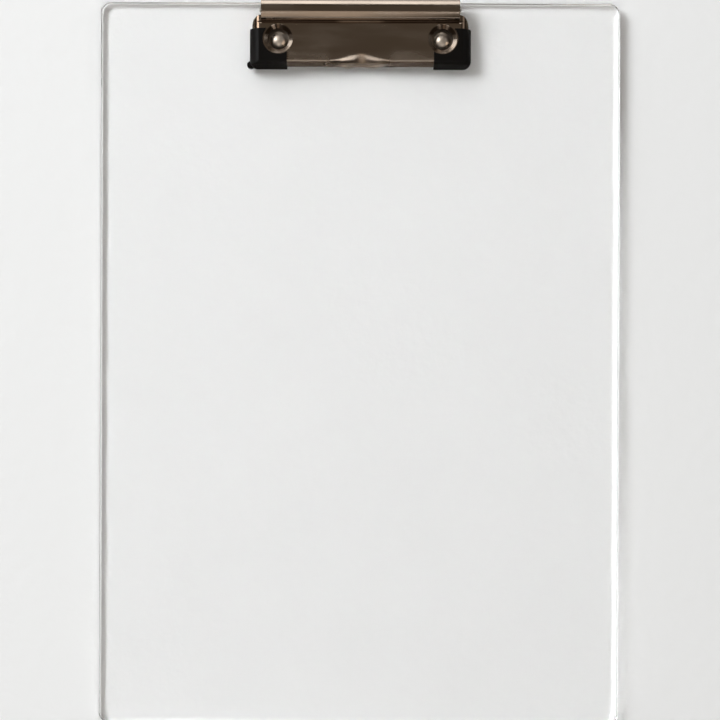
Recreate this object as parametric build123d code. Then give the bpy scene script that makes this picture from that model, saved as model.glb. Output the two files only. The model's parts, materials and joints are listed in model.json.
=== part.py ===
"""A clear acrylic clipboard with a low-profile spring clip.

Frame: millimetres, +Z up out of the writing face, +Y towards the clip. The origin is the centre of
the board's underside. The clip hinges about a pin that lies along X, close to the board's top end.
"""

from build123d import *

import os
from math import acos, asin, atan2, cos, degrees, hypot, pi, radians, sin, sqrt, tan

# Board
board_width = 228.6
board_length = 317.5
board_thickness = 5.0
board_corner_radius = 4.5
board_edge_break = 0.4

# Clip as a whole
pin_setback = 4.45  # pin axis to the board's top end
pin_height = 4.6  # pin axis above the writing face
sheet = 0.8  # thickness of the pressed steel

# Clamp plate
barrel_width = 86.5
barrel_radius = 5.0
barrel_end_angle = 10.0  # how far below level the rolled barrel ends behind the pin
shoulder_width = 4.25  # how far the skirts stand out beyond each end of the barrel
shoulder_start = 2.2  # pin axis forward to where the shoulders begin
shoulder_length = 5.0
panel_height = 5.7  # top of the flat panel above the writing face
clip_reach = 24.1  # pin axis forward to the foot of the lip
lip_lean = 17.0  # degrees that the lip leans back from upright
lip_bend_radius = 1.2
lip_corner_radius = 2.5
lip_clearance = 0.8  # foot of the steel above the writing face
valley_width = 1.2  # foot of the barrel forward to where the panel begins to turn down
valley_slope = 35.0  # degrees that the panel turns down
valley_land = 0.1  # flat left between the valley and a rivet's dimple
valley_rim_radius = 1.0
crease_radius = 0.3
cheek_radius = 4.0
thumb_half_width = 16.0  # the lip's middle to where the thumb rest has died away
thumb_reach = 0.7  # foot of the thumb rest in front of the lip's foot
thumb_lean = 5.0
thumb_bend_radius = 8.4
thumb_depth = 9.5  # the lip's foot back to the plain panel behind the thumb rest
thumb_sections = 9
dimple_radius = 6.35
dimple_depth = 1.2
access_hole_radius = 4.7

# Corner guards
guard_wall = 1.0
guard_width = 16.4
guard_length = 16.8
guard_tuck = 1.5  # how far the sole reaches in behind the steel
guard_dimple_gap = 0.5
toe_radius = 1.6
toe_reach = 1.2  # how far the toe stands out to the side
toe_height = 2.2

# Base plate
cheek_gap = 0.35  # between a cheek and the ear beside it
ear_radius = 3.1
ear_foot = 4.4  # pin axis forward to the foot of an ear's sloping edge
plate_tail = 3.2  # pin axis back to the plate's rear edge
stop_setback = 16.3  # pin axis forward to the paper stop
stop_width = 56.0
stop_height = 2.8
rivet_pad_radius = 5.4
bend_radius = 0.8
bead_length = 44.0
bead_width = 4.0
bead_height = 0.6
bead_slope = 50.0  # degrees that the bead's sides lean in
bead_setback = 10.4

# Hinge pin
pin_diameter = 3.0
pin_fit = 0.03
running_fit = 0.06
pin_head_diameter = 3.8
pin_head_height = 0.7
end_play = 0.1

# Springs
wire_diameter = 1.1
coil_fit = 0.25  # between the pin and the inside of the coil
coil_gap = 0.15  # between neighbouring turns
coil_turns = 3
wire_sides = 8
spring_outer_x = 27.0
base_leg_length = 3.4
hook_radius = 5.6  # pin axis to the tip of the hooked leg
hook_angle = 8.0
hook_slot_gap = 0.2
seat_gap = 0.05

# Rivets
rivet_inset = 7.4  # rivet axis in from the end of the barrel
rivet_head_diameter = 7.5
rivet_head_height = 2.1
rivet_head_rim = 0.3
rivet_diameter = 4.0
rivet_bore_radius = 1.15
rivet_bore_depth = 3.0
rivet_fit = 0.1
clinch_radius = 3.1
clinch_height = 0.9
clinch_recess = 0.2
washer_radius = 3.9
washer_thickness = 0.6
washer_fit = 0.1
counterbore_gap = 0.3

# Derived places
board_end = board_length / 2
board_top = board_thickness
pin_y = board_end - pin_setback
pin_z = board_top + pin_height
panel_z = board_top + panel_height
foot_z = board_top + lip_clearance
foot_y = pin_y - clip_reach
barrel_half = barrel_width / 2
skirt_half = barrel_half + shoulder_width
pin_radius = pin_diameter / 2
wire_radius = wire_diameter / 2
coil_radius = pin_radius + coil_fit + wire_radius
plate_top = board_top + sheet
ear_outer_x = barrel_half - sheet - cheek_gap
valley_y = pin_y - barrel_radius - valley_width
rivet_y = valley_y - valley_land - dimple_radius
rivet_x = barrel_half - rivet_inset
counterbore_depth = washer_thickness + clinch_height + clinch_recess
guard_inner_x = skirt_half + guard_wall - guard_width
guard_top_y = foot_y - guard_wall + guard_length
far = 4 * barrel_width  # beyond everything that a cutting shape has to clear
deep = board_top - 2 * sheet - barrel_radius


def along_x(profile, length):
    """A profile in the Y-Z plane made solid over a length centred on x = 0."""
    return extrude(profile, amount=length / 2, both=True)


def cylinder_x(y, z, radius, length, x=0.0):
    """A cylinder along X."""
    return Pos(x, y, z) * Rot(0, 90, 0) * Cylinder(radius, length)


def round_vertex(face, y, z, radius):
    """Rounds the one corner of a Y-Z profile that lies nearest to a point."""
    corner = face.vertices().sort_by_distance((0, y, z))[0]
    return fillet(corner, radius)


def dome_arc(radius, height, z):
    """The arc of a low dome from its rim at a level to its crown on the axis, in (radius, z)."""
    ball = (radius**2 + height**2) / (2 * height)
    turn = asin(radius / ball) / 2
    middle = (ball * sin(turn), z + height - ball + ball * cos(turn))
    return ThreePointArc((radius, z), middle, (0, z + height))


def turned(profile):
    """A closed profile of (radius, z) edges turned about the Z axis."""
    return revolve(Plane.XZ * make_face(profile), Axis.Z)


# Clamp plate ----------------------------------------------------------------------------------


def lip_profile(grow, swell, rear_y):
    """The lip and the panel behind it from the side, grown outwards, with the thumb rest's swell."""
    top = panel_z + grow
    lean = radians(lip_lean + swell * (thumb_lean - lip_lean))
    wall_y = foot_y - swell * thumb_reach - grow / cos(lean)
    bend_y = wall_y + (top - foot_z) * tan(lean)
    outline = Polyline(
        (wall_y + (deep - foot_z) * tan(lean), deep),
        (bend_y, top),
        (rear_y, top),
        (rear_y, deep),
        close=True,
    )
    radius = lip_bend_radius + swell * (thumb_bend_radius - lip_bend_radius)
    return round_vertex(Plane.YZ * make_face(outline), bend_y, top, radius + grow)


def side_profile(grow):
    """The clip from the side: lip, flat panel, valley and rolled barrel, grown outwards."""
    top = panel_z + grow
    radius = barrel_radius + grow
    crease = crease_radius - grow
    pin = Vector(pin_y, pin_z)
    rim = JernArc((valley_y, top), (1, 0), valley_rim_radius + grow, -valley_slope)
    down = rim % 1
    # The crease's arc touches the slope and the barrel, which fixes how far down its middle lies.
    middle = rim @ 1 - pin + Vector(-down.Y, down.X) * crease
    along = -middle.dot(down) - sqrt(middle.dot(down) ** 2 - middle.dot(middle) + (radius + crease) ** 2)
    middle += down * along
    barrel_start = degrees(atan2(middle.Y, middle.X))
    slope = Line(rim @ 1, rim @ 1 + down * along)
    bend = JernArc(slope @ 1, down, crease, barrel_start - 180 + 90 + valley_slope)
    barrel = CenterArc(pin, radius, barrel_start, -barrel_start - 90)
    under = Polyline(barrel @ 1, (pin_y, deep), (valley_y, deep), (valley_y, top))
    rear = make_face([rim, slope, bend, barrel, *under.edges()])
    return lip_profile(grow, 0, valley_y) + Plane.YZ * rear


def plan_outline(grow):
    """The clip from above: a wide front with rounded corners that shoulders in to the barrel."""
    front_y = foot_y - grow / cos(radians(lip_lean))
    shoulder_y = pin_y - shoulder_start - shoulder_length
    rear_y = pin_y + 2 * barrel_radius
    front = Pos(0, (front_y + shoulder_y) / 2) * Rectangle(
        2 * (skirt_half + grow), shoulder_y - front_y
    )
    corner_radius = max(lip_corner_radius + grow, lip_corner_radius / 10)
    front = fillet(front.vertices().group_by(Axis.Y)[0], corner_radius)
    barrel = Pos(0, (front_y + rear_y) / 2 + shoulder_width) * Rectangle(
        barrel_width + 2 * grow, rear_y - front_y - 2 * shoulder_width
    )
    for side in (-1, 1):
        shoulder = Ellipse(shoulder_width + grow, shoulder_length + grow)
        front += Pos(side * barrel_half, shoulder_y) * shoulder
    return front + barrel


def front_outline(grow):
    """The clip from the front: the skirts' rounded shoulders, and the tall barrel between them."""
    low = (deep + panel_z + grow) / 2
    skirts = Pos(0, low) * Rectangle(2 * (skirt_half + grow), panel_z + grow - deep)
    skirts = fillet(skirts.vertices().group_by(Axis.Y)[-1], shoulder_width + grow)
    barrel = Pos(0, pin_z) * Rectangle(barrel_width + 2 * grow, far)
    return Plane.XZ * (skirts + barrel)


def trimmed(side, grow):
    """A side view made solid, and kept within the clip's plan and front views."""
    plan = extrude(plan_outline(grow), amount=far, both=True)
    front = extrude(front_outline(grow), amount=far, both=True)
    return along_x(side, far) & plan & front


def thumb_form(grow):
    """The lip's middle, lofted from its plain profile out to the thumb rest's crown and back."""
    sections = []
    for step in range(thumb_sections):
        x = thumb_half_width * (2 * step / (thumb_sections - 1) - 1)
        swell = cos(pi / 2 * x / thumb_half_width) ** 2
        sections.append(Pos(x, 0, 0) * lip_profile(grow, swell, foot_y + thumb_depth))
    return loft(sections)


def pressed_form(grow):
    """The clip's whole form as one solid, grown outwards by an offset, with no underside yet."""
    middle = Box(2 * thumb_half_width, 2 * thumb_depth, far)
    form = trimmed(side_profile(grow), grow)
    return form - Pos(0, foot_y, 0) * middle + thumb_form(grow)


def kept_side():
    """What trimming leaves of the side view: all above the foot, and the cheeks' round lobes."""
    rear_y = pin_y + 2 * barrel_radius
    rear_z = pin_z - 2 * barrel_radius * tan(radians(barrel_end_angle))
    outline = Polyline(
        (foot_y - far, foot_z),
        (pin_y, foot_z),
        (pin_y, pin_z),
        (rear_y, rear_z),
        (rear_y, far),
        (foot_y - far, far),
        close=True,
    )
    return Plane.YZ * (make_face(outline) + Pos(pin_y, pin_z) * Circle(cheek_radius))


def dimple(x):
    """The dished rim of the hole through which a rivet is set, turned about the rivet's axis."""
    low = panel_z - dimple_depth
    ring = Polyline(
        (dimple_radius, panel_z),
        (access_hole_radius, low),
        (access_hole_radius, low - sheet),
        (dimple_radius, panel_z - sheet),
        close=True,
    )
    return Pos(x, rivet_y, 0) * turned(ring)


def make_clamp_plate():
    """The sprung plate, pressed from one sheet: barrel, panel, skirts, cheeks and leaning lip."""
    plate = pressed_form(0) - pressed_form(-sheet)
    plate &= along_x(kept_side(), far)
    for side in (-1, 1):
        x = side * rivet_x
        plate -= Pos(x, rivet_y, panel_z) * Cylinder(dimple_radius, 2 * panel_height)
        plate += dimple(x)
    plate -= cylinder_x(pin_y, pin_z, pin_radius + running_fit, far)
    for side in (-1, 1):
        leg = Line(around_pin(side * hook_x(), hook_start()), hook_tip(side * hook_x()))
        hole = Plane(origin=leg @ 0, z_dir=leg % 0) * Circle(wire_radius + hook_slot_gap)
        plate -= extrude(hole, amount=leg.length)
    return plate


# Corner guards --------------------------------------------------------------------------------


def above(form, z):
    """The part of a form that lies above a level."""
    return form & Pos(0, pin_y, z + far / 2) * Box(2 * far, 2 * far, far)


def make_guard(side, toe):
    """A moulded cap over one front corner of the clamp plate, hollowed round the rivet's dimple."""
    outside = trimmed(lip_profile(guard_wall, 0, pin_y), guard_wall)
    inside = trimmed(lip_profile(0, 0, pin_y), 0)
    guard = above(outside, board_top) - above(inside, foot_z)
    guard -= extrude(plan_outline(-guard_tuck), amount=foot_z)
    guard &= Pos(side * (guard_inner_x + far / 2), guard_top_y - far / 2, 0) * Box(far, far, far)
    reach = dimple_radius + guard_dimple_gap
    guard -= Pos(side * rivet_x, rivet_y, 0) * Cylinder(reach, far)
    if toe:
        x = side * (skirt_half + guard_wall + toe_reach - toe_radius)
        y = foot_y - guard_wall / cos(radians(lip_lean)) + toe_radius
        peg = Pos(x, y, board_top + toe_height / 2) * Cylinder(toe_radius, toe_height)
        guard += peg - extrude(plan_outline(0), amount=far)
    return guard


# Base plate -----------------------------------------------------------------------------------


def channel_outline():
    """The base plate from the front: a wide U whose ends stand up as the ears."""
    height = pin_height + ear_radius + bend_radius
    outer = Pos(0, board_top + height / 2) * Rectangle(2 * ear_outer_x, height)
    outer = fillet(outer.vertices().group_by(Axis.Y)[0], bend_radius + sheet)
    inner = Pos(0, plate_top + height / 2) * Rectangle(2 * (ear_outer_x - sheet), height)
    inner = fillet(inner.vertices().group_by(Axis.Y)[0], bend_radius)
    return Plane.XZ * (outer - inner)


def ear_outline():
    """An ear from the side: a round lobe about the pin, drawn out forward to its foot."""
    lobe = Pos(pin_y, pin_z) * Circle(ear_radius)
    foot = Line((pin_y - ear_foot, plate_top), (pin_y + ear_radius, plate_top))
    ear = make_hull([*lobe.edges(), foot.edge()])
    low = (plate_top + board_top) / 2
    floor = Pos(pin_y, low) * Rectangle(far, sheet)
    return Plane.YZ * (ear + floor)


def paper_stop():
    """The flange turned up along the plate's front edge, which the paper's top edge meets."""
    front = pin_y - stop_setback
    size = stop_height + bend_radius + sheet
    outer = Pos(front + size / 2, board_top + stop_height / 2) * Rectangle(size, stop_height)
    inner = outer.moved(Location((sheet, sheet)))
    corner = outer.vertices().sort_by_distance((front, board_top, 0))[0]
    outer = fillet(corner, bend_radius + sheet)
    corner = inner.vertices().sort_by_distance((front + sheet, plate_top, 0))[0]
    inner = fillet(corner, bend_radius)
    return along_x(Plane.YZ * (outer - inner), stop_width)


def bead(grow, z):
    """A round-ended rib along X, drawn in evenly all round as it rises from a level."""
    slot = SlotOverall(bead_length + 2 * grow, bead_width + 2 * grow)
    return extrude(Pos(0, pin_y - bead_setback, z) * slot, amount=bead_height, taper=bead_slope)


def make_base_plate():
    """The plate riveted to the board, with ears for the pin, a paper stop and a stiffening bead."""
    front = pin_y - stop_setback + sheet + bend_radius
    rear = pin_y + plate_tail
    plan = Pos(0, (front + rear) / 2) * Rectangle(2 * ear_outer_x, rear - front)
    for side in (-1, 1):
        plan += Pos(side * rivet_x, rivet_y) * Circle(rivet_pad_radius)
    channel = extrude(channel_outline(), amount=far, both=True)
    plate = extrude(plan, amount=far) & channel & along_x(ear_outline(), far)
    plate += paper_stop()
    plate = plate + bead(0, plate_top) - bead(-sheet * tan(radians(bead_slope / 2)), board_top)
    for side in (-1, 1):
        plate -= Pos(side * rivet_x, rivet_y, board_top) * Cylinder(
            rivet_diameter / 2 + rivet_fit, 4 * sheet
        )
    return plate - cylinder_x(pin_y, pin_z, pin_radius + pin_fit, far)


# Hinge pin and springs ------------------------------------------------------------------------


def make_pin():
    """The hinge pin, with both ends upset into low flat-topped heads outside the cheeks."""
    half = barrel_half + end_play
    head_radius = pin_head_diameter / 2
    profile = [
        Line((0, 0), (pin_radius, 0)),
        Line((pin_radius, 0), (pin_radius, half)),
        Line((pin_radius, half), (head_radius, half)),
        Line((head_radius, half), (pin_radius / 2, half + pin_head_height)),
        Line((pin_radius / 2, half + pin_head_height), (0, half + pin_head_height)),
        Line((0, half + pin_head_height), (0, 0)),
    ]
    arm = Pos(0, pin_y, pin_z) * Rot(0, 90, 0) * turned(profile)
    return arm + mirror(arm, Plane.YZ)


def base_leg_start():
    """Degrees below level, behind the pin, at which the leg that presses on the plate leaves."""
    drop = pin_z - plate_top - wire_radius - seat_gap
    reach = hypot(coil_radius, base_leg_length)
    return 90 + degrees(atan2(base_leg_length, coil_radius) - acos(drop / reach))


def hook_start():
    """Degrees above level, behind the pin, at which the hooked leg leaves the coil."""
    return hook_angle + degrees(acos(coil_radius / hook_radius))


def around_pin(x, angle, radius=coil_radius):
    """The point at an angle about the pin: 0 is level behind it, and 90 is straight above it."""
    turn = radians(angle)
    return Vector(x, pin_y + radius * cos(turn), pin_z + radius * sin(turn))


def hook_tip(x):
    """Where the hooked leg ends, through the back of the barrel."""
    return around_pin(x, hook_angle, hook_radius)


def coil_length():
    """How far the coil runs along the pin, from one leg to the other."""
    swept = 360 * coil_turns - base_leg_start() - hook_start()
    return (wire_diameter + coil_gap) * swept / 360


def hook_x():
    """How far each spring's hooked leg lies from the clip's middle."""
    return spring_outer_x - coil_length()


def make_spring():
    """The left spring: a coil on the pin, one leg on the base plate, the other hooked in the barrel."""
    first = -base_leg_start()
    helix = Helix(wire_diameter + coil_gap, coil_length(), coil_radius, lefthand=True)
    outwards = around_pin(0, first) - around_pin(0, 0, 0)
    frame = Plane(origin=(-spring_outer_x, pin_y, pin_z), x_dir=outwards, z_dir=(1, 0, 0))
    helix = frame.from_local_coords(helix)
    wire = Plane(origin=helix @ 0, z_dir=helix % 0) * RegularPolygon(wire_radius, wire_sides)
    coil = sweep(wire, helix, is_frenet=True)
    base_end = coil.faces().sort_by_distance(helix @ 0)[0]
    hook_end = coil.faces().sort_by_distance(helix @ 1)[0]
    rearward = Vector(0, -sin(radians(first)), cos(radians(first)))
    to_tip = hook_tip((helix @ 1).X) - helix @ 1
    coil += extrude(base_end, amount=base_leg_length, dir=rearward)
    return coil + extrude(hook_end, amount=to_tip.length, dir=to_tip)


# Rivets and board -----------------------------------------------------------------------------


def make_rivet(side):
    """A semi-tubular rivet: domed head on the base plate, tail rolled over in the counterbore."""
    head_radius = rivet_head_diameter / 2
    shank_radius = rivet_diameter / 2
    rim_z = plate_top + rivet_head_rim
    tail_z = clinch_recess
    clinch_z = clinch_recess + clinch_height
    bore_z = tail_z + rivet_bore_depth
    profile = [
        dome_arc(head_radius, rivet_head_height - rivet_head_rim, rim_z),
        Line((0, plate_top + rivet_head_height), (0, bore_z)),
        Line((0, bore_z), (rivet_bore_radius, bore_z)),
        Line((rivet_bore_radius, bore_z), (rivet_bore_radius, tail_z)),
        Line((rivet_bore_radius, tail_z), (shank_radius, tail_z)),
        Line((shank_radius, tail_z), (clinch_radius, clinch_z)),
        Line((clinch_radius, clinch_z), (shank_radius, clinch_z)),
        Line((shank_radius, clinch_z), (shank_radius, plate_top)),
        Line((shank_radius, plate_top), (head_radius, plate_top)),
        Line((head_radius, plate_top), (head_radius, rim_z)),
    ]
    return Pos(side * rivet_x, rivet_y, 0) * turned(profile)


def make_washer(side):
    """The washer under a rivet's rolled tail, seated on the floor of the counterbore."""
    centre = Pos(side * rivet_x, rivet_y, counterbore_depth - washer_thickness / 2)
    ring = Cylinder(washer_radius, washer_thickness)
    return centre * (ring - Cylinder(rivet_diameter / 2 + washer_fit, 2 * washer_thickness))


def make_board():
    """The clear board: rounded corners, eased edges, and counterbored holes for the rivets."""
    outline = RectangleRounded(board_width, board_length, board_corner_radius)
    board = extrude(outline, amount=board_thickness)
    rims = board.faces().sort_by(Axis.Z)
    board = chamfer(rims[0].edges() + rims[-1].edges(), board_edge_break)
    for side in (-1, 1):
        axis = Pos(side * rivet_x, rivet_y, 0)
        board -= axis * Cylinder(rivet_diameter / 2 + rivet_fit, 4 * board_thickness)
        board -= axis * Cylinder(washer_radius + counterbore_gap, 2 * counterbore_depth)
    return board


# Assembly -------------------------------------------------------------------------------------

left_spring = make_spring()
clamp_plate = make_clamp_plate()

pieces = {
    "acrylic_board": make_board(),
    "base_plate": make_base_plate(),
    "clamp_plate": clamp_plate,
    "hinge_pin": make_pin(),
    "left_spring": left_spring,
    "right_spring": mirror(left_spring, Plane.YZ),
    "left_rivet": make_rivet(-1),
    "right_rivet": make_rivet(1),
    "left_rivet_washer": make_washer(-1),
    "right_rivet_washer": make_washer(1),
    "left_corner_guard": make_guard(-1, toe=True),
    "right_corner_guard": make_guard(1, toe=False),
}

os.makedirs("parts", exist_ok=True)
for name, piece in pieces.items():
    export_step(piece, f"parts/{name}.step")
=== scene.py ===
# %% [markdown]
# # A clear clipboard with a bronze-plated clip
#
# The real thing is a sheet of clear acrylic with a low spring clip riveted across one end. The metal
# is thin steel, pressed to shape and plated, and two black moulded caps cover the jaw's front
# corners. The solid shapes come from the CAD frame, so this lesson is mostly about finishes: what
# each material does to light, and how little it takes in nodes to say so. Only the two springs are
# made here, as surfaces swept along a path.

# %% Load the frame
import json
import math

import bpy
import numpy as np
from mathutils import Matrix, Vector


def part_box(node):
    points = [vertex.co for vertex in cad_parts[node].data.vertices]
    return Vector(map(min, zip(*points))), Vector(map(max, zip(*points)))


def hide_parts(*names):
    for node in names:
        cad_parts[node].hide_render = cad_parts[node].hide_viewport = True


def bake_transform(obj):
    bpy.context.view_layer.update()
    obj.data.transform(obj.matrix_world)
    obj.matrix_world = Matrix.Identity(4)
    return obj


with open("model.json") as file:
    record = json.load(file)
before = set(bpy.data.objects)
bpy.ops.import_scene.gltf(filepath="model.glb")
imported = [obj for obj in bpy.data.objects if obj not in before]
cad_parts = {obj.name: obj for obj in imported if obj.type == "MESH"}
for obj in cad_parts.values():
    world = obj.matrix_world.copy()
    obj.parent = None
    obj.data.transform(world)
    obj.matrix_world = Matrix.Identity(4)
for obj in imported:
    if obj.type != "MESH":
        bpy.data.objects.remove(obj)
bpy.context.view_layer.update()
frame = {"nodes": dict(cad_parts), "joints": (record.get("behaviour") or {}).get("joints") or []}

MM = 0.001

# %% [markdown]
# ## Places
#
# Everything is placed from the frame: the board's box says where the writing face is, and the hinge
# says where the pin lies. Nothing is placed by eye, so a change of size in the CAD carries through.

# %% Measures from the frame
board_low, board_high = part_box("acrylic_board")
board_width = board_high.x - board_low.x
board_centre = (board_low + board_high) / 2
writing_face = board_high.z
pivot = Vector(frame["joints"][0]["pos_m"])
SHEET = 0.8 * MM  # thickness of the pressed steel
CAP_WALL = 1.0 * MM  # thickness of the moulded caps
base_plate_top = writing_face + SHEET
panel_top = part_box("left_corner_guard")[1].z - CAP_WALL  # the jaw's flat panel
lip_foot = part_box("clamp_plate")[0].y  # the jaw's foremost edge
print(f"board {board_width / MM:.1f} mm wide, face at {writing_face / MM:.1f} mm, pin at {pivot}")

# %% [markdown]
# ## Helpers
#
# A screen colour such as #A88B72 is stored with a gamma curve, while light adds up linearly, so one
# function undoes the curve. Another adds one node: its type, its settings, and what feeds it. The
# rest are short names for the few things that every finish needs: a cloudy value, a value carried
# from one range to another, a bump, and the shader itself. With these, a material reads as a short
# list of what the surface is.


# %% Helpers for colour and nodes
def linear(hex_colour):
    """An sRGB hex colour as linear RGBA: each channel's gamma curve is undone."""
    values = [int(hex_colour[i : i + 2], 16) / 255 for i in (1, 3, 5)]
    return [v / 12.92 if v <= 0.04045 else ((v + 0.055) / 1.055) ** 2.4 for v in values] + [1.0]


def add(tree, kind, feeds=None, **settings):
    """Adds a node, applies its settings, and fills its inputs with values or with other sockets."""
    made = tree.nodes.new(kind)
    for name, value in settings.items():
        setattr(made, name, value)
    for name, value in (feeds or {}).items():
        if isinstance(value, bpy.types.NodeSocket):
            tree.links.new(value, made.inputs[name])
        else:
            made.inputs[name].default_value = value
    return made


def new_material(name):
    """An empty node material with its output, ready for one shader."""
    material = bpy.data.materials.new(name)
    material.use_nodes = True
    material.node_tree.nodes.clear()
    return material, material.node_tree, add(material.node_tree, "ShaderNodeOutputMaterial")


def object_place(tree):
    """The piece's own coordinates, in metres."""
    return add(tree, "ShaderNodeTexCoord").outputs["Object"]


def cloud(tree, place, lump, detail):
    """A cloudy value between 0 and 1, with lumps of about the given size."""
    feeds = {"Vector": place, "Scale": 1 / lump, "Detail": detail}
    return add(tree, "ShaderNodeTexNoise", feeds).outputs["Fac"]


def ramp(tree, value, start, end, low=0.0, high=1.0, easing="SMOOTHSTEP"):
    """A value carried over from the range start..end to the range low..high."""
    feeds = {"Value": value, "From Min": start, "From Max": end, "To Min": low, "To Max": high}
    return add(tree, "ShaderNodeMapRange", feeds, interpolation_type=easing).outputs["Result"]


def combine(tree, how, first, second):
    """The sum, product or maximum of two values."""
    return add(tree, "ShaderNodeMath", {0: first, 1: second}, operation=how).outputs[0]


def bump(tree, height, depth):
    """A surface normal that follows a height of 0 to 1, which stands for so many metres."""
    feeds = {"Height": height, "Distance": depth, "Strength": 1.0}
    return add(tree, "ShaderNodeBump", feeds).outputs["Normal"]


def principled(tree, output, feeds):
    """The one shader of a finish, joined to the material's output."""
    shader = add(tree, "ShaderNodeBsdfPrincipled", feeds)
    tree.links.new(shader.outputs["BSDF"], output.inputs["Surface"])


def finish_node(node, material):
    """Gives a CAD node its finish."""
    slots = frame["nodes"][node].data.materials
    slots.clear()
    slots.append(material)
    print(f"{node}: {material.name}")


# %% [markdown]
# ## Clear acrylic
#
# Cast acrylic is almost colourless, with an index of 1.49, a little under window glass. Its faces
# are as smooth as glass when new, and handling leaves a few hairlines far finer than a millimetre.
# It could be a see-through tint with painted edges, but that fails as soon as the board is turned. A
# Principled shader with full transmission bends the light properly, so the edges darken and glow by
# themselves, with nothing painted on. Its weak mirror image of the room is turned down a little
# more, as over white it would only veil the board.


# %% Acrylic
def clear_cast_acrylic():
    """Cast acrylic sheet: clear, index 1.49, with faint handling marks in its roughness."""
    material, tree, output = new_material("clear cast acrylic")
    marks = cloud(tree, object_place(tree), 12 * MM, 6.0)
    feeds = {
        "Base Color": linear("#FFFFFF"),
        "Roughness": ramp(tree, marks, 0.35, 0.75, 0.0, 0.03, "LINEAR"),
        "IOR": 1.49,
        "Specular Tint": (0.3, 0.3, 0.3, 1.0),
        "Transmission Weight": 1.0,
    }
    principled(tree, output, feeds)
    return material


finish_node("acrylic_board", clear_cast_acrylic())

# %% [markdown]
# ## Bronze plate on steel
#
# The clip is pressed from thin steel, tumbled smooth, then plated a warm bronze. A metal has no colour
# of its own but that of its reflections, so the base colour is the tint it gives them. Pressing leaves
# the sheet very slightly wavy, and lacquer pools a little, so roughness and height vary over some
# millimetres.
#
# Pictures of metal could be laid over the clip for this, but they would have to be unwrapped, and
# they blur close by. Noise made of the piece's own coordinates needs neither and has no end.
#
# Shade is painted into the clamp plate's colour. A dark brown is painted down the face of the lip and
# in the valley under the barrel, and it stands for the shade and dark reflections there. It is painted
# lighter in the middle of the lip, on the thumb rest. It is a mask made of the piece's own coordinates:
# low enough, and far enough forward or back. Paper and fingers scuff the plate along the lip, so it is
# duller there than on the thumb rest.


# %% Plated steel
# colour of the painted shade on the lip and in the valley
SHADE_COLOUR = "#55473B"
THUMB_REST_HALF = 9.0 * MM  # the lip's middle to the edge of the thumb rest
SHADE_RETURN_START = 0.8 * THUMB_REST_HALF  # distances from the middle, over which the painted shade comes back
SHADE_RETURN_END = 1.3 * THUMB_REST_HALF
SCUFF_START = 1.2 * THUMB_REST_HALF  # and over which the scuffs begin
SCUFF_END = 1.8 * THUMB_REST_HALF
MIDDLE_SHADE = 0.3  # share of the painted shade kept in the middle of the lip
SCUFF = 0.12  # roughness that handling has added at the lip
LIP_DEPTH = 5.0 * MM  # lip's foot back to where the painted shade on the lip ends
VALLEY_SETBACK = 11.0 * MM  # pin axis forward to where the painted shade in the valley ends


def from_middle(tree, parts):
    """The distance sideways from the clip's middle."""
    return add(tree, "ShaderNodeMath", {0: parts["X"]}, operation="ABSOLUTE").outputs[0]


def painted_shade(tree, place):
    """1 where shade is painted: below the panel, on the lip or in the valley, less in the lip's middle.
    """
    parts = add(tree, "ShaderNodeSeparateXYZ", {"Vector": place}).outputs
    lip_end = lip_foot + LIP_DEPTH
    valley_end = pivot.y - VALLEY_SETBACK
    bent = ramp(tree, parts["Z"], panel_top - 0.05 * MM, panel_top - 0.6 * MM)
    sunk = ramp(tree, parts["Z"], panel_top - 0.02 * MM, panel_top - 0.15 * MM)
    forward = ramp(tree, parts["Y"], lip_end, lip_end - 0.2 * LIP_DEPTH)
    back = ramp(tree, parts["Y"], valley_end, valley_end + 0.05 * VALLEY_SETBACK)
    lip = combine(tree, "MULTIPLY", forward, bent)
    valley = combine(tree, "MULTIPLY", back, sunk)
    shade_share = ramp(tree, from_middle(tree, parts), SHADE_RETURN_START, SHADE_RETURN_END, MIDDLE_SHADE, 1.0)
    return combine(tree, "MULTIPLY", combine(tree, "MAXIMUM", lip, valley), shade_share)


def handling(tree, place):
    """Extra roughness towards the lip, on both sides of the thumb rest."""
    parts = add(tree, "ShaderNodeSeparateXYZ", {"Vector": place}).outputs
    near_lip = ramp(tree, parts["Y"], lip_foot + 12 * MM, lip_foot + 4 * MM, 0.0, SCUFF)
    aside = ramp(tree, from_middle(tree, parts), SCUFF_START, SCUFF_END)
    return combine(tree, "MULTIPLY", near_lip, aside)


def bronze_plate(name, tint, smooth, dull, wave, streak=1.0, with_painted_shade=False):
    """Plated steel: a tint for its reflections, roughness between two values, and a wave in mm."""
    material, tree, output = new_material(name)
    place = object_place(tree)
    drawn_out = add(tree, "ShaderNodeMapping", {"Vector": place, "Scale": (streak, 1.0, 1.0)})
    pools = cloud(tree, drawn_out.outputs["Vector"], 5 * MM, 5.0)
    feeds = {
        "Base Color": linear(tint),
        "Metallic": 1.0,
        "Roughness": ramp(tree, pools, 0.3, 0.7, smooth, dull),
        "Normal": bump(tree, cloud(tree, place, 14 * MM, 1.0), wave * MM),
    }
    # painted shade on the lip and in the valley, and extra roughness from handling at the lip
    if with_painted_shade:
        mix = {"Factor": painted_shade(tree, place), "A": linear(tint), "B": linear(SHADE_COLOUR)}
        feeds["Base Color"] = add(tree, "ShaderNodeMix", mix, data_type="RGBA").outputs["Result"]
        feeds["Roughness"] = combine(tree, "ADD", feeds["Roughness"], handling(tree, place))
    principled(tree, output, feeds)
    return material


# the clamp plate's tint carries painted shade down the lip and in the valley
shaded_clamp_bronze = bronze_plate("bronze plate with painted shade", "#9A8C7E", 0.1, 0.24, 0.05, 0.2, with_painted_shade=True)
satin_bronze = bronze_plate("satin bronze plate", "#9E9285", 0.28, 0.38, 0.05)
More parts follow.
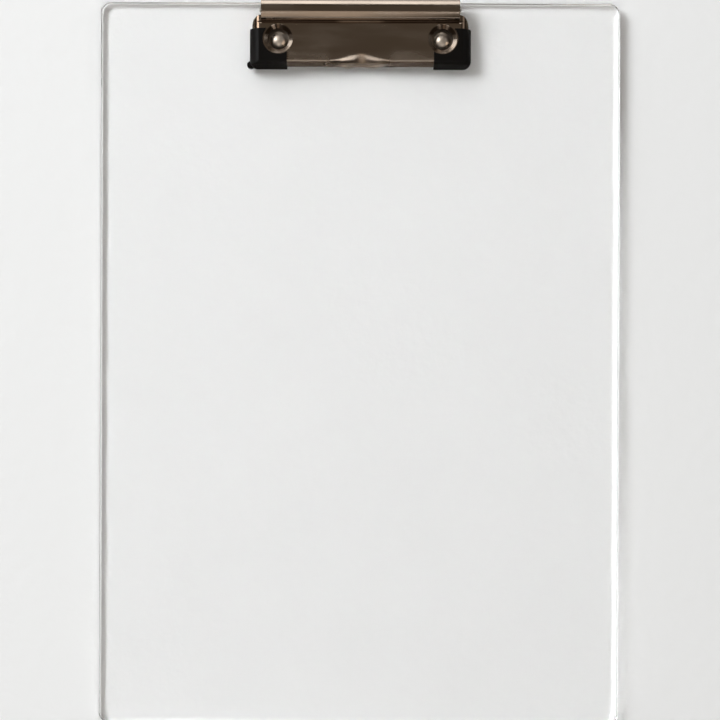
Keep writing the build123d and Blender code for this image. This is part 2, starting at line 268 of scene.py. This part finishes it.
# The rivets share the plating, but their tint is painted lighter. This is painted light on domes that
# sit in shade inside their holes.
rivet_bronze_painted_light = bronze_plate("rivet bronze with painted light", "#C6B8A8", 0.42, 0.5, 0.02)
finish_node("clamp_plate", shaded_clamp_bronze)
finish_node("base_plate", satin_bronze)
for side in ("left", "right"):
    finish_node(f"{side}_rivet", rivet_bronze_painted_light)
    finish_node(f"{side}_rivet_washer", rivet_bronze_painted_light)

# %% [markdown]
# ## Drawn steel
#
# The pin and the springs are drawn wire, left bare and oiled. Drawing leaves fine lines along the
# wire. They could be a bump that follows the wire, but on parts this thin they only show as a soft,
# slightly uneven gloss, so a fine noise in the roughness is enough.


# %% Drawn steel
def drawn_steel(name, tint, smooth, dull):
    """Bare drawn steel: grey, with a soft uneven gloss."""
    material, tree, output = new_material(name)
    gloss = cloud(tree, object_place(tree), 1.5 * MM, 4.0)
    roughness = ramp(tree, gloss, 0.3, 0.7, smooth, dull, "LINEAR")
    principled(tree, output, {"Base Color": linear(tint), "Metallic": 1.0, "Roughness": roughness})
    return material


finish_node("hinge_pin", drawn_steel("drawn pin steel", "#B0ABA4", 0.22, 0.36))

# %% [markdown]
# ## Torsion springs
#
# Two springs close the jaw. Each is a length of music wire: a straight leg that presses on the base
# plate, two and a half turns round the pin, and a straight leg hooked through the back of the barrel.
# The solid spring in the CAD has an eight-sided wire, so a rounder one stands for it here. A curve
# with a round bevel could draw it, but a surface written as a formula has closed, rounded ends and
# points that can be counted on. It is a tube swept along one path. With `a` the angle about the pin,
# which falls as the wire runs inwards:
#
# - on the coil the centre line is `pin + R (cos a, sin a)`, and `x` advances with `a`, slowly at
#   first and last, so that the legs leave without a kink;
# - each leg goes on along the tangent that the coil has where it ends;
# - the skin is `centre + r (n cos u + b sin u)`, where `n` points away from the pin and `b` is the
#   cross product of the path's direction with `n`.
#
# When the jaw opens, the turns share the twist evenly.

# %% Spring measures
WIRE_RADIUS = 0.55 * MM
COIL_RADIUS = 2.3 * MM  # pin axis to the middle of the wire
COIL_TURNS = 3  # counted with the part of a turn that the legs take away
BASE_LEG = 3.4 * MM
HOOK_REACH = 5.6 * MM  # pin axis to the tip of the hooked leg
HOOK_ANGLE = math.radians(8)  # rise of the hook's tip, seen from the pin
SEAT_GAP = 0.05 * MM  # between the base leg and the base plate
END_ROUNDING = 0.12 * MM
LEAD_IN = 0.15  # turns over which the coil's advance builds up

spring_low, spring_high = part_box("left_spring")
outer_x = spring_low.x + WIRE_RADIUS
hook_x = spring_high.x - WIRE_RADIUS
print(f"coil from x {outer_x / MM:.1f} to {hook_x / MM:.1f} mm, round {2 * COIL_RADIUS / MM:.1f} mm")


def leg_angles():
    """The angles about the pin at which the base leg and the hooked leg leave the coil."""
    drop = pivot.z - base_plate_top - WIRE_RADIUS - SEAT_GAP
    lean = math.atan2(BASE_LEG, COIL_RADIUS) - math.acos(drop / math.hypot(COIL_RADIUS, BASE_LEG))
    return -math.pi / 2 - lean, HOOK_ANGLE + math.acos(COIL_RADIUS / HOOK_REACH)


# %% [markdown]
# The centre line is sampled from end to end: the base leg, the coil and the hooked leg, each with
# the normal that the skin is later drawn round.


# %% Spring path
def coil_path(steps):
    """Samples along the coil: centres of the wire, and unit normals away from the pin."""
    first, last = leg_angles()
    angle = np.linspace(first, last - 2 * math.pi * COIL_TURNS, steps)
    turned = (first - angle) / (2 * math.pi)
    pace = np.clip(np.minimum(turned, turned[-1] - turned) / LEAD_IN, 0.0, 1.0)
    advance = np.concatenate([[0.0], np.cumsum(pace[1:] + pace[:-1])])
    normal = np.stack([np.zeros(steps), np.cos(angle), np.sin(angle)], axis=1)
    centre = np.array(pivot) + COIL_RADIUS * normal
    centre[:, 0] = outer_x + (hook_x - outer_x) * advance / advance[-1]
    return centre, normal


def leg_path(corner, normal, reach, steps):
    """Samples of a straight leg outwards from the coil's end; a negative reach goes backwards."""
    along = np.linspace(0.0, reach, steps + 1)[1:, None]
    return corner + along * np.array([0.0, normal[2], -normal[1]])


def wire_path(coil_steps=240, leg_steps=8):
    """The whole centre line from the base leg's tip to the hook's, with its normals."""
    centre, normal = coil_path(coil_steps)
    hook = math.sqrt(HOOK_REACH**2 - COIL_RADIUS**2)
    base_leg = leg_path(centre[0], normal[0], -BASE_LEG, leg_steps)[::-1]
    hook_leg = leg_path(centre[-1], normal[-1], hook, leg_steps)
    ends = [np.repeat(normal[i][None], leg_steps, axis=0) for i in (0, -1)]
    return np.concatenate([base_leg, centre, hook_leg]), np.concatenate([ends[0], normal, ends[1]])


# %% [markdown]
# The skin is a ring of points round each sample. At the two cut ends the ring shrinks over a quarter
# circle, since a cut wire is tumbled until its edge is soft.


# %% Spring skin
def rounded_ends(path, normal, steps=4):
    """Repeats the end samples with a shrinking radius, so that the cut ends are softly rounded."""
    turn = np.linspace(0.0, math.pi / 2, steps + 1)[:, None]
    bulge = END_ROUNDING * (np.sin(turn) - 1)
    shrink = WIRE_RADIUS - END_ROUNDING * (1 - np.cos(turn[:, 0]))
    ends = []
    for tip, inner in ((path[0], path[1]), (path[-1], path[-2])):
        ends.append(tip + bulge * (tip - inner) / np.linalg.norm(tip - inner))
    path = np.concatenate([ends[0][::-1], path[1:-1], ends[1]])
    radius = np.concatenate([shrink[::-1], np.full(len(normal) - 2, WIRE_RADIUS), shrink])
    normal = np.concatenate([np.repeat(normal[:1], steps, 0), normal, np.repeat(normal[-1:], steps, 0)])
    return path, normal, radius


def spring_mesh(name, side, sides=20):
    """One spring's skin; side -1 is the left spring as measured, and +1 its mirror image."""
    path, normal, radius = rounded_ends(*wire_path())
    way = np.gradient(path, axis=0)
    across = np.cross(way, normal)
    across /= np.linalg.norm(across, axis=1)[:, None]
    u = np.linspace(0.0, 2 * math.pi, sides, endpoint=False)
    ring = normal[:, None] * np.cos(u)[:, None] + across[:, None] * np.sin(u)[:, None]
    points = path[:, None] + radius[:, None, None] * ring
    points[..., 0] *= -side
    rings = len(path)
    index = np.arange(rings * sides).reshape(rings, sides)
    after = np.roll(index, -1, axis=1)
    quads = np.stack([index[:-1], after[:-1], after[1:], index[1:]], axis=-1).reshape(-1, 4)
    faces = quads.tolist() + [index[0, ::-1].tolist(), index[-1].tolist()]
    if side > 0:
        faces = [face[::-1] for face in faces]
    mesh = bpy.data.meshes.new(name)
    mesh.from_pydata(points.reshape(-1, 3).tolist(), [], faces)
    mesh.shade_smooth()
    return mesh


spring_steel = drawn_steel("drawn spring wire", "#BAB8B4", 0.2, 0.34)
for name, side in (("left", -1), ("right", 1)):
    spring = bpy.data.objects.new(f"{name}_torsion_spring", spring_mesh(f"{name}_torsion_spring", side))
    bpy.context.scene.collection.objects.link(spring)
    spring.data.materials.append(spring_steel)
    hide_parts(f"{name}_spring")
    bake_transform(spring)
    length = np.linalg.norm(np.diff(wire_path()[0], axis=0), axis=1).sum()
    print(f"{name} spring: {length / MM:.0f} mm of wire, {len(spring.data.polygons)} faces")

# %% [markdown]
# ## Black moulded caps
#
# The corner caps are soft black vinyl, dip-moulded and semi-matt. Black plastic is never quite
# black: about one per cent of the light comes back, slightly warm, and a fine grain breaks up its
# gloss. Pure black with a sharp gloss would be simpler, but it looks like a hole with a lamp in it.


# %% Moulded vinyl
def moulded_vinyl():
    """Soft black vinyl with a satin skin and a grain of a third of a millimetre."""
    material, tree, output = new_material("black moulded vinyl")
    place = object_place(tree)
    patches = cloud(tree, place, 5 * MM, 3.0)
    feeds = {
        "Base Color": linear("#110F0D"),
        "Specular IOR Level": 0.05,
        "Roughness": ramp(tree, patches, 0.3, 0.7, 0.36, 0.46, "LINEAR"),
        "Normal": bump(tree, cloud(tree, place, 0.35 * MM, 3.0), 0.02 * MM),
    }
    principled(tree, output, feeds)
    return material


vinyl = moulded_vinyl()
for side in ("left", "right"):
    finish_node(f"{side}_corner_guard", vinyl)

# %% [markdown]
# ## Floor
#
# The board lies on a white plastered table top. The floor is a hair below the board, so that the
# acrylic keeps its thin layer of air, and a faint unevenness keeps the white from looking empty. Far
# from the lamps it would darken. A curved backdrop would mend that, but it would stand in the way of
# the low windows, so the floor fades there into plain white, which the metal and the acrylic show
# as well.


# %% Floor
FLOOR_HALF = 20.0  # far enough that its edge is never seen
AIR_GAP = 0.1 * MM
FADE_START = 0.35  # from the board's centre to where the floor begins to fade
FADE_END = 1.5


def lay_floor(half, drop):
    """A large square plane a hair below the board."""
    mesh = bpy.data.meshes.new("floor")
    corners = [(-half, -half, -drop), (half, -half, -drop), (half, half, -drop), (-half, half, -drop)]
    mesh.from_pydata(corners, [], [(0, 1, 2, 3)])
    floor = bpy.data.objects.new("floor", mesh)
    bpy.context.scene.collection.objects.link(floor)
    return floor


def white_plaster():
    """Matt white plaster, faintly uneven, that fades far off into the white of the backdrop."""
    material, tree, output = new_material("white plaster")
    place = object_place(tree)
    pits = cloud(tree, place, 6 * MM, 4.0)
    feeds = {"Base Color": linear("#F2F1EE"), "Roughness": 0.9, "Normal": bump(tree, pits, 0.25 * MM)}
    plaster = add(tree, "ShaderNodeBsdfPrincipled", feeds)
    backdrop = add(tree, "ShaderNodeEmission", {"Color": linear("#FFFFFF"), "Strength": 1.0})
    distance = add(tree, "ShaderNodeVectorMath", {0: place}, operation="LENGTH").outputs["Value"]
    ray = add(tree, "ShaderNodeLightPath").outputs
    mirrored = combine(tree, "MAXIMUM", ray["Is Glossy Ray"], ray["Is Transmission Ray"])
    seen = combine(tree, "MAXIMUM", ray["Is Camera Ray"], mirrored)
    share = combine(tree, "MULTIPLY", seen, ramp(tree, distance, FADE_START, FADE_END))
    feeds = {"Fac": share, 1: plaster.outputs["BSDF"], 2: backdrop.outputs["Emission"]}
    tree.links.new(add(tree, "ShaderNodeMixShader", feeds).outputs["Shader"], output.inputs["Surface"])
    material.cycles.emission_sampling = "NONE"
    return material


floor = lay_floor(FLOOR_HALF, AIR_GAP)
floor.data.materials.append(white_plaster())
print(f"floor {2 * FLOOR_HALF:.0f} m wide, {AIR_GAP / MM:.1f} mm under the board")

# %% [markdown]
# ## Light
#
# Polished metal shows the room, so the room is worth a thought. A high window behind and to the left
# is the main light, and throws the soft shadows to the lower right. Below it a pale wall lights the
# dimples round the rivets. A window straight behind draws the bright line along the back of the
# barrel, and a small one on the right puts a glint on that shoulder. Beyond the foot of the board
# stand a pale wall, which lights the front of the barrel, and a door on each side of it, for the
# flanks of the thumb rest. One large soft lamp would be simpler, but it would leave the barrel
# without its bands.
#
# An area lamp's power is pi * area * radiance, so each window is given by its radiance, as the
# walls are.


# %% Windows
ROOM = 3.0  # from the board's centre to what stands round it


def hang_window(name, azimuth, elevation, width, height, radiance, colour):
    """A lamp facing the board, its directions in degrees; azimuth turns from behind to the left."""
    turn = math.radians(azimuth)
    rise = math.radians(elevation)
    lamp = bpy.data.lights.new(name, "AREA")
    lamp.shape = "RECTANGLE"
    lamp.size = 2 * ROOM * math.tan(math.radians(width / 2))
    lamp.size_y = 2 * ROOM * math.tan(math.radians(height / 2))
    lamp.energy = math.pi * lamp.size * lamp.size_y * radiance
    lamp.color = linear(colour)[:3]
    away = Vector((-math.sin(turn) * math.cos(rise), math.cos(turn) * math.cos(rise), math.sin(rise)))
    window = bpy.data.objects.new(name, lamp)
    window.location = board_centre + away * ROOM
    window.rotation_euler = away.to_track_quat("Z", "Y").to_euler()
    bpy.context.scene.collection.objects.link(window)
    print(f"{name}: {lamp.size:.1f} by {lamp.size_y:.1f} m, {lamp.energy:.0f} W")


hang_window("high window", 57, 40, 26, 24, 14.4, "#F6FAFF")
hang_window("left wall", 42, 15, 50, 18, 2.2, "#F6FAFF")
hang_window("back window", 0, 20, 16, 36, 3.0, "#F6FAFF")
hang_window("right window", 292, 36, 24, 20, 1.9, "#F6FAFF")
hang_window("foot door", 204, 46, 14, 28, 3.2, "#F6FAFF")
hang_window("far door", 155, 46, 13, 26, 2.7, "#F6FAFF")
hang_window("foot wall", 176, 38, 12, 60, 0.8, "#FFF3E7")

# %% [markdown]
# ## Room
#
# Between the windows the room is brown and dim, and so the flat top of the clip, which shows the
# ceiling, looks dark. The room could be built of walls, but all that the clip shows of them is how
# bright each direction is, and a background that depends on the height of the view says that in a
# few nodes. Along the horizon, and where the camera looks past the floor, it is as white as the
# backdrop.


# %% Room
CEILING = 0.15  # radiance straight up
WALL = 0.1
CEILING_START = 0.8  # heights on a unit sphere, between which the walls turn into ceiling
CEILING_END = 0.9
BACKDROP_END = 0.08  # and between which the white horizon turns into wall
BACKDROP_START = 0.02


def room():
    """Dim brown walls and ceiling, with a white backdrop along the horizon and behind the view."""
    world = bpy.data.worlds.new("room")
    bpy.context.scene.world = world
    world.use_nodes = True
    tree = world.node_tree
    tree.nodes.clear()
    way = add(tree, "ShaderNodeTexCoord").outputs["Generated"]
    height = add(tree, "ShaderNodeSeparateXYZ", {"Vector": way}).outputs["Z"]
    glow = ramp(tree, height, CEILING_START, CEILING_END, WALL, CEILING, "LINEAR")
    horizon = ramp(tree, height, BACKDROP_END, BACKDROP_START)
    seen = add(tree, "ShaderNodeLightPath").outputs["Is Camera Ray"]
    dim = add(tree, "ShaderNodeBackground", {"Color": linear("#FFEEDA"), "Strength": glow})
    white = add(tree, "ShaderNodeBackground", {"Color": linear("#FFFFFF"), "Strength": 1.0})
    pale = combine(tree, "MAXIMUM", horizon, seen)
    feeds = {"Fac": pale, 1: dim.outputs["Background"], 2: white.outputs["Background"]}
    output = add(tree, "ShaderNodeOutputWorld")
    tree.links.new(add(tree, "ShaderNodeMixShader", feeds).outputs["Shader"], output.inputs["Surface"])


room()

# %% [markdown]
# ## Camera
#
# The camera looks straight down, from far enough away that the clip hardly leans. Its lens follows
# from how much of the picture's width the board should take at that distance. The place could be
# tuned by eye as well, but then a change of size in the CAD would spoil it.

# %% Camera
CAMERA_HEIGHT = 0.65  # above the writing face
BOARD_SHARE = 0.72153  # of the picture's width
CAMERA_X = 0.3 * MM
CAMERA_Y = 1.45 * MM
CAMERA_ROLL = math.radians(0.2)

camera_data = bpy.data.cameras.new("camera")
camera_data.sensor_width = 36.0
camera_data.lens = 36.0 * CAMERA_HEIGHT * BOARD_SHARE / board_width
camera = bpy.data.objects.new("camera", camera_data)
camera.location = (CAMERA_X, CAMERA_Y, writing_face + CAMERA_HEIGHT)
camera.rotation_euler = (0, 0, CAMERA_ROLL)
bpy.context.scene.collection.objects.link(camera)
bpy.context.scene.camera = camera
bpy.context.scene.view_settings.view_transform = "Standard"
print(f"lens {camera_data.lens:.1f} mm at {CAMERA_HEIGHT} m")

# %% [markdown]
# ## Light paths
#
# Light that enters the board's edge is mirrored many times between its faces before it leaves at the
# other side. Its path is given enough turns for that, because with few the edges go black. A tint
# could hide the black, but real acrylic edges are clear.

# %% Light paths
PATH_TURNS = 32
BRIGHTEST = 20.0  # above every window's radiance, so that none is cut short

tracer = bpy.context.scene.cycles
tracer.max_bounces = PATH_TURNS
tracer.glossy_bounces = PATH_TURNS
tracer.transmission_bounces = PATH_TURNS
tracer.sample_clamp_indirect = BRIGHTEST
tracer.blur_glossy = 0.0  # sharp refraction keeps its full light

# %% [markdown]
# ## Last step
#
# Last, the view layer is brought up to date. The only new pieces are the springs, whose rounder wire
# reaches a few hundredths of a millimetre less far than the CAD's.

# %% Bring the view layer up to date
bpy.context.view_layer.update()
